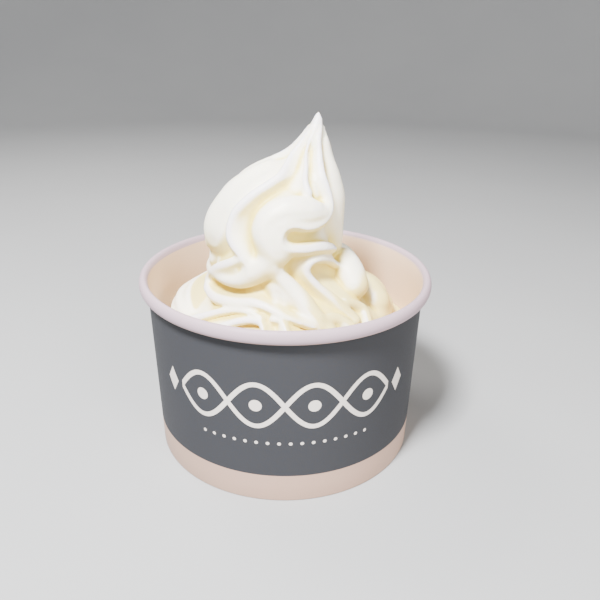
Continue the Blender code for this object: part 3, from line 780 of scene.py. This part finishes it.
def coreRadius(grid, made):
    # radius of the swirl's body over angle and height: the outer shape, less valleys away from the crests
    step = 1.5
    angles = np.radians(np.arange(-180, 180, step))
    heights = np.arange(grid.low[2], grid.z[-1] + 0.01, 0.5)
    reach, _ = shapeAt(heights)
    stretch = np.sqrt(1 + np.minimum(np.abs(np.gradient(reach, heights)), 2.5) ** 2)
    depth = np.full((len(angles), len(heights)), yogurt["valleyDepth"])
    for fold in made.values():
        if not fold["crest"] or fold["cut"]:
            continue
        nearest = np.full(depth.shape, 60.0)
        rightward = np.zeros(depth.shape)
        spots = smoothRoute(fold["route"], 5)[:, :2]
        ahead = np.gradient(spots, axis=0)
        for (angle, height), (turnOn, rise) in zip(spots, ahead):
            turn = (angles - math.radians(angle) + math.pi) % (2 * math.pi) - math.pi
            across = turn[:, None] * np.maximum(reach, 1.0)[None, :]
            above = ((heights - height) * stretch)[None, :]
            distance = np.hypot(across, above)
            onward = math.radians(turnOn) * max(float(shapeAt(np.array([height]))[0][0]), 1.0)
            side = (across * rise - above * onward) / max(math.hypot(onward, rise), 1e-6)
            rightward = np.where(distance < nearest, side, rightward)
            nearest = np.minimum(nearest, distance)
        lapping = np.clip(rightward * lapSign[fold["lap"]], 0, 1)
        nearest = np.maximum(nearest - fold["full"], 0) + yogurt["lapStep"] * lapping
        fall = 1 - np.exp(-((nearest / yogurt["valleyWidth"]) ** yogurt["valleyPower"]))
        depth = np.minimum(depth, fold["inset"] + (yogurt["valleyDepth"] - fold["inset"]) * fall)
    share = yogurt["valleyShare"] * np.clip((yogurt["plainTip"] - heights) / yogurt["tipFade"], 0, 1)
    depth = np.minimum(depth, (share * reach)[None, :])
    return angles, heights, reach[None, :] - depth - yogurt["crestInset"]


def coreField(grid, made):
    angles, heights, radius = coreRadius(grid, made)
    reach, lean = shapeAt(grid.z)
    x = grid.x[:, None, None] - lean[None, None, :]
    y = grid.y[None, :, None] + 0 * lean[None, None, :]
    turn = (np.arctan2(x, -y) - angles[0]) / (angles[1] - angles[0])
    left = np.floor(turn).astype(int)
    share = turn - left
    left %= len(angles)
    right = (left + 1) % len(angles)
    at = (grid.z - heights[0]) / (heights[1] - heights[0])
    below = np.clip(np.floor(at).astype(int), 0, len(heights) - 2)
    field = np.empty(x.shape[:1] + y.shape[1:2] + (len(grid.z),), np.float32)
    slope = np.minimum(np.abs(np.gradient(reach, grid.z)), 3)
    distance = np.hypot(x, y)
    for k in range(len(grid.z)):
        t = at[k] - below[k]
        ring = radius[:, below[k]] * (1 - t) + radius[:, below[k] + 1] * t
        body = ring[left[:, :, k]] * (1 - share[:, :, k]) + ring[right[:, :, k]] * share[:, :, k]
        field[:, :, k] = (distance[:, :, k] - body) / math.sqrt(1 + slope[k] ** 2)
    return np.maximum(field, (grid.z - 109.6)[None, None, :].astype(np.float32))


def foldLine(fold):
    # the fold's centre line in mm, with its radii
    angle, height, radius, proud = smoothRoute(fold["route"], 8).T
    radius = np.maximum(radius, 0.3)
    reach, lean = shapeAt(height)
    out = proud if fold["free"] else np.maximum(reach - radius + proud, 0)
    lean = 0 * lean if fold["free"] else lean
    a = np.radians(angle)
    outward = np.stack([np.sin(a), -np.cos(a), 0 * a], 1)
    return np.stack([lean + out * np.sin(a), -out * np.cos(a), height], 1), radius, outward


def tubeField(grid, line, radius, outward, margin):
    # distance to a tapering tube, and how far to its right a point is, over the block of the grid that it can reach
    start, end = grid.block(line.min(0) - radius.max() - margin, line.max(0) + radius.max() + margin)
    found = np.full(tuple(end - start), 1e3, np.float32)
    rightward = np.zeros_like(found)
    size = np.ones_like(found)
    for p, q, r0, r1, out in zip(line[:-1], line[1:], radius[:-1], radius[1:], outward):
        room = max(r0, r1) + margin
        first, last = grid.block(np.minimum(p, q) - room, np.maximum(p, q) + room)
        if (last <= first).any():
            continue
        x = grid.x[first[0] : last[0], None, None] - p[0]
        y = grid.y[None, first[1] : last[1], None] - p[1]
        z = grid.z[None, None, first[2] : last[2]] - p[2]
        d = q - p
        t = np.clip((x * d[0] + y * d[1] + z * d[2]) / max(float(d @ d), 1e-6), 0, 1)
        gap = np.sqrt((x - t * d[0]) ** 2 + (y - t * d[1]) ** 2 + (z - t * d[2]) ** 2) - (r0 + (r1 - r0) * t)
        right = np.cross(d, out)
        right /= max(np.linalg.norm(right), 1e-6) * max(r0, r1)
        side = x * right[0] + y * right[1] + z * right[2]
        part = tuple(slice(first[k] - start[k], last[k] - start[k]) for k in range(3))
        rightward[part] = np.where(gap < found[part], side, rightward[part])
        size[part] = np.where(gap < found[part], r0 + (r1 - r0) * t, size[part])
        found[part] = np.minimum(found[part], gap)
    return tuple(slice(start[k], end[k]) for k in range(3)), found, rightward, size


def melt(first, second, width):
    # the union of two fields, with a fillet about that wide
    near = np.maximum(width - np.abs(first - second), 0) / width
    return np.minimum(first, second) - near * near * width * 0.25


def yogurtField(grid):
    made = allFolds()
    field = coreField(grid, made)
    for fold in made.values():
        if not fold["tube"]:
            continue
        line, radius, outward = foldLine(fold)
        where, tube, rightward, size = tubeField(grid, line, radius, outward, fold["melt"] + 1)
        lapping = np.clip(rightward * lapSign[fold["lap"]] * 2, 0, 1)
        soft = np.minimum(fold["melt"], yogurt["meltReach"] * size)
        width = soft + (yogurt["hardMelt"] - soft) * lapping
        if fold["cut"]:
            field[where] = -melt(-field[where], tube, width)
        else:
            field[where] = melt(field[where], tube, width)
    distance = np.hypot(grid.x[:, None], grid.y[None, :])
    turn = np.arctan2(grid.x[:, None], -grid.y[None, :])
    wall = np.array([innerRadius(z * mm) / mm for z in grid.z]) + yogurt["intoWall"]
    level = yogurt["fillTop"] + yogurt["fillCrown"] * (1 - (distance / wall[0]) ** 2)
    level += 0.7 * np.sin(3 * turn + 1) + 0.4 * np.sin(7 * turn)
    field = melt(field, grid.z[None, None, :] - level[:, :, None], 3.0)
    field = np.maximum(field, distance[:, :, None] - wall[None, None, :])
    return np.maximum(field, grid.low[2] + 1.5 - grid.z[None, None, :]).astype(np.float32)


def skinOf(grid, field):
    # surface nets: one vertex in each cell that the surface crosses, one quad for each edge that it cuts
    inside = field < 0
    size = np.array(field.shape)
    corners = [(x, y, z) for x in (0, 1) for y in (0, 1) for z in (0, 1)]
    full = sum(inside[x : size[0] - 1 + x, y : size[1] - 1 + y, z : size[2] - 1 + z].astype(np.int8) for x, y, z in corners)
    active = (full > 0) & (full < 8)
    cells = np.argwhere(active)
    number = np.full(active.shape, -1, np.int64)
    number[active] = np.arange(len(cells))
    values = [field[cells[:, 0] + x, cells[:, 1] + y, cells[:, 2] + z] for x, y, z in corners]
    total, crossings = np.zeros((len(cells), 3)), np.zeros(len(cells))
    for a in range(8):
        for b in range(a + 1, 8):
            step = np.array(corners[b]) - corners[a]
            if np.abs(step).sum() != 1:
                continue
            cut = (values[a] < 0) != (values[b] < 0)
            t = np.where(cut, values[a] / np.where(cut, values[a] - values[b], 1), 0)
            total += np.where(cut[:, None], np.array(corners[a]) + t[:, None] * step, 0)
            crossings += cut
    vertices = grid.low + grid.cell * (cells + total / crossings[:, None])
    quads = []
    for axis in range(3):
        u, v = [(1, 2), (2, 0), (0, 1)][axis]
        here = inside[tuple(slice(0, -1) if k == axis else slice(None) for k in range(3))]
        ahead = inside[tuple(slice(1, None) if k == axis else slice(None) for k in range(3))]
        edges = np.argwhere(here != ahead)
        whole = (edges[:, u] > 0) & (edges[:, v] > 0) & (edges[:, u] < size[u] - 1) & (edges[:, v] < size[v] - 1)
        edges = edges[whole]
        ring = []
        for du, dv in ((1, 1), (0, 1), (0, 0), (1, 0)):
            cell = edges.copy()
            cell[:, u] -= du
            cell[:, v] -= dv
            ring.append(number[tuple(cell.T)])
        quad = np.stack(ring, 1)
        outward = here[tuple(edges.T)]
        quad[~outward] = quad[~outward][:, ::-1]
        quads.append(quad)
    return vertices, np.concatenate(quads), inside


def filledShare(grid, inside, reach):
    # how much of the neighbourhood of each grid point is yogurt
    share = inside.astype(np.float32)
    width = max(int(round(reach / grid.cell)), 1)
    for _ in range(2):
        for axis in range(3):
            padded = np.pad(share, [(width + 1, width) if k == axis else (0, 0) for k in range(3)], mode="edge")
            summed = np.cumsum(padded, axis=axis, dtype=np.float64)
            length = share.shape[axis]
            first = np.take(summed, range(0, length), axis=axis)
            last = np.take(summed, range(2 * width + 1, 2 * width + 1 + length), axis=axis)
            share = ((last - first) / (2 * width + 1)).astype(np.float32)
    return share


def readGrid(grid, values, points):
    at = np.clip((points - grid.low) / grid.cell, 0, np.array(values.shape) - 1.001)
    base = np.floor(at).astype(int)
    t = at - base
    found = np.zeros(len(points))
    for x in (0, 1):
        for y in (0, 1):
            for z in (0, 1):
                weight = np.abs(1 - x - t[:, 0]) * np.abs(1 - y - t[:, 1]) * np.abs(1 - z - t[:, 2])
                found += weight * values[base[:, 0] + x, base[:, 1] + y, base[:, 2] + z]
    return found


def addPaintedShadeMeasures(grid, inside, vertices, mesh):
    # measures for painted shade: the first is a half on a flat face, more in a crease and less on a ridge, and sets the
    # painted crease shade and the painted ridge tone; the second grows where yogurt lies in front of the surface and
    # above it, on downward faces and low on the right-facing side, and sets the painted shade
    normals = np.empty(len(vertices) * 3, np.float32)
    mesh.vertex_normals.foreach_get("vector", normals)
    normals = normals.reshape(-1, 3)
    near = filledShare(grid, inside, yogurt["creaseShadeReach"])
    wide = filledShare(grid, inside, yogurt["paintedShadeReach"])
    # painted shade: more where yogurt lies in front of the surface and above it, on downward faces, and low on the
    # right-facing side
    ahead = vertices + yogurt["paintedShadeAhead"] * normals + np.array((0, 0, yogurt["paintedShadeAbove"]))
    low = np.clip((64 - vertices[:, 2]) / 10, 0, 1) * np.clip(0.2 + 1.3 * normals[:, 0], 0, 1)
    under = yogurt["paintedShadeUnder"] * np.clip(0.2 - normals[:, 2], 0, 1) + yogurt["paintedShadeLow"] * low
    for name, values in (("paintedCreaseShade", readGrid(grid, near, vertices)), ("paintedShade", readGrid(grid, wide, ahead) + under)):
        mesh.attributes.new(name, "FLOAT", "POINT").data.foreach_set("value", values.astype(np.float32))


def makeSkinTree():
    # eases the skin and gives it a slight ripple, as it set
    tree = bpy.data.node_groups.new("easeYogurt", "GeometryNodeTree")
    given, made = addSockets(
        tree,
        [
            ("Geometry", "Geometry", None),
            ("Ease Rounds", "Int", 2),
            ("Ripple Depth", "Float", 0.0),
            ("Ripple Scale", "Float", 100.0),
            ("Still Below", "Float", 0.0),
            ("Material", "Material", None),
        ],
        [("Geometry", "Geometry")],
    )
    place = tree.nodes.new("GeometryNodeInputPosition").outputs[0]
    eased = addNode(tree, "GeometryNodeBlurAttribute", {"Iterations": given["Ease Rounds"]}, data_type="FLOAT_VECTOR")
    feed(tree, eased.inputs["Value"], place)
    blurred = next(socket for socket in eased.outputs if socket.enabled)
    softened = addNode(tree, "GeometryNodeSetPosition", {"Geometry": given["Geometry"], "Position": blurred})
    noise = addNode(tree, "ShaderNodeTexNoise", {"Vector": place, "Scale": given["Ripple Scale"], "Detail": 2.0})
    swell = calc(tree, "MULTIPLY", calc(tree, "SUBTRACT", noise.outputs[0], 0.5), given["Ripple Depth"])
    normal = tree.nodes.new("GeometryNodeInputNormal").outputs[0]
    height = addNode(tree, "ShaderNodeSeparateXYZ", {"Vector": place}).outputs["Z"]
    swell = calc(tree, "MULTIPLY", swell, calc(tree, "GREATER_THAN", height, given["Still Below"]))
    offset = addNode(tree, "ShaderNodeVectorMath", operation="SCALE")
    feed(tree, offset.inputs[0], normal)
    feed(tree, offset.inputs["Scale"], swell)
    rippled = addNode(tree, "GeometryNodeSetPosition", {"Geometry": softened.outputs[0], "Offset": offset.outputs[0]})
    smooth = addNode(tree, "GeometryNodeSetShadeSmooth", {"Geometry": rippled.outputs[0], "Shade Smooth": True})
    real = addNode(tree, "GeometryNodeRealizeInstances", {"Geometry": smooth.outputs[0]})
    painted = addNode(tree, "GeometryNodeSetMaterial", {"Geometry": real.outputs[0], "Material": given["Material"]})
    tree.links.new(painted.outputs[0], made["Geometry"])
    return tree


def closeDownward(piece):
    # the skin's flat underside gives way to a plain plug that goes down to the base
    shape = bmesh.new()
    shape.from_mesh(piece.data)
    floor = (yogurt["gridLow"][2] + 2.2) * mm
    under = [face for face in shape.faces if all(v.co.z < floor for v in face.verts)]
    bmesh.ops.delete(shape, geom=under, context="FACES")
    rim = [edge for edge in shape.edges if edge.is_boundary]
    down = bmesh.ops.extrude_edge_only(shape, edges=rim)["geom"]
    foot = yogurt["foot"] * mm
    for vertex in (item for item in down if isinstance(item, bmesh.types.BMVert)):
        scale = innerRadius(foot, cup["gap"]) / math.hypot(vertex.co.x, vertex.co.y)
        vertex.co = (vertex.co.x * scale, vertex.co.y * scale, foot)
    bmesh.ops.holes_fill(shape, edges=[edge for edge in shape.edges if edge.is_boundary], sides=0)
    bmesh.ops.recalc_face_normals(shape, faces=shape.faces)
    shape.to_mesh(piece.data)
    shape.free()


yogurtLook = {
    "bright": (0.93, 0.88, 0.735, 1),
    # painted shade colour, for hollows, overhangs and the low right-facing side
    "shade": (0.80, 0.68, 0.28, 1),
    # painted shade in creases
    "paintedCreaseShade": (0.77, 0.63, 0.16, 1),
    # painted tone on thin ridges, greyer and cooler than the lit yogurt
    "ridge": (0.82, 0.775, 0.775, 1),
    "shadeFrom": 0.13,
    "shadeTo": 0.43,
    "creaseShadeFrom": 0.515,
    "creaseShadeTo": 0.68,
    "ridgeFrom": 0.44,
    "ridgeTo": 0.32,
    "subsurface": 0.2,
    "subsurfaceScale": 0.8 * mm,
}


def makeYogurtSkin():
    cream = bpy.data.materials.new("yogurtSkin")
    cream.use_nodes = True
    tree = cream.node_tree
    shader = tree.nodes["Principled BSDF"]
    where = tree.nodes.new("ShaderNodeTexCoord").outputs["Object"]
    # painted light: creases get a painted shade, and thin ridges a greyer painted tone
    hollow = addNode(tree, "ShaderNodeAttribute", attribute_name="paintedCreaseShade").outputs["Fac"]
    cloud = addNode(tree, "ShaderNodeTexNoise", {"Vector": where, "Scale": 160.0, "Detail": 3.0}).outputs["Fac"]
    fine = addNode(tree, "ShaderNodeTexNoise", {"Vector": where, "Scale": 1500.0, "Detail": 3.0}).outputs["Fac"]
    uneven = calc(tree, "MULTIPLY_ADD", cloud, 0.06, calc(tree, "ADD", hollow, -0.03))
    creaseShadeMask = ramp(tree, uneven, yogurtLook["creaseShadeFrom"], yogurtLook["creaseShadeTo"])
    proud = ramp(tree, uneven, yogurtLook["ridgeTo"], yogurtLook["ridgeFrom"], 1.0, 0.0)
    # painted shade in hollows, under overhangs, on downward faces and low on the right-facing side
    paintedShade = addNode(tree, "ShaderNodeAttribute", attribute_name="paintedShade").outputs["Fac"]
    paintedShadeMask = ramp(tree, paintedShade, yogurtLook["shadeFrom"], yogurtLook["shadeTo"])
    # the painted ridge tone, then the painted shade, then the painted crease shade over the yogurt's own colour
    colour = mixColour(tree, proud, yogurtLook["bright"], yogurtLook["ridge"])
    colour = mixColour(tree, paintedShadeMask, colour, yogurtLook["shade"])
    colour = mixColour(tree, creaseShadeMask, colour, yogurtLook["paintedCreaseShade"])
    feed(tree, shader.inputs["Base Color"], colour)
    feed(tree, shader.inputs["Roughness"], calc(tree, "MULTIPLY_ADD", cloud, 0.2, 0.34))
    relief = calc(tree, "MULTIPLY_ADD", fine, 0.25, cloud)
    bump = addNode(tree, "ShaderNodeBump", {"Height": relief, "Strength": 0.15, "Distance": 0.0008})
    feed(tree, shader.inputs["Normal"], bump.outputs["Normal"])
    shader.inputs["Subsurface Weight"].default_value = yogurtLook["subsurface"]
    shader.inputs["Subsurface Radius"].default_value = (1.0, 0.72, 0.42)
    shader.inputs["Subsurface Scale"].default_value = yogurtLook["subsurfaceScale"]
    return cream


def makeYogurt():
    grid = Grid()
    field = yogurtField(grid)
    vertices, quads, inside = skinOf(grid, field)
    mesh = bpy.data.meshes.new("yogurtSwirl")
    mesh.from_pydata((vertices * mm).tolist(), [], quads.tolist())
    addPaintedShadeMeasures(grid, inside, vertices, mesh)
    piece = bpy.data.objects.new("yogurtSwirl", mesh)
    bpy.context.scene.collection.objects.link(piece)
    values = {
        "Ease Rounds": yogurt["easeRounds"],
        "Ripple Depth": yogurt["rippleDepth"],
        "Ripple Scale": yogurt["rippleScale"],
        "Still Below": (yogurt["gridLow"][2] + 3) * mm,
        "Material": makeYogurtSkin(),
    }
    runTree(piece, makeSkinTree(), values)
    closeDownward(piece)
    return piece


yogurtSwirl = makeYogurt()
print("yogurt", len(yogurtSwirl.data.polygons), "faces")


# ---- the pieces ride on the frame

for piece, node, slot in (
    (cupWall, "cup_wall", "printed_paper"),
    (cupBase, "cup_base", "plain_paper"),
    (yogurtSwirl, "frozen_yogurt", "soft_yogurt"),
):
    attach(piece, "root")
    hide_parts(node)

print("frozen yogurt cup finished")
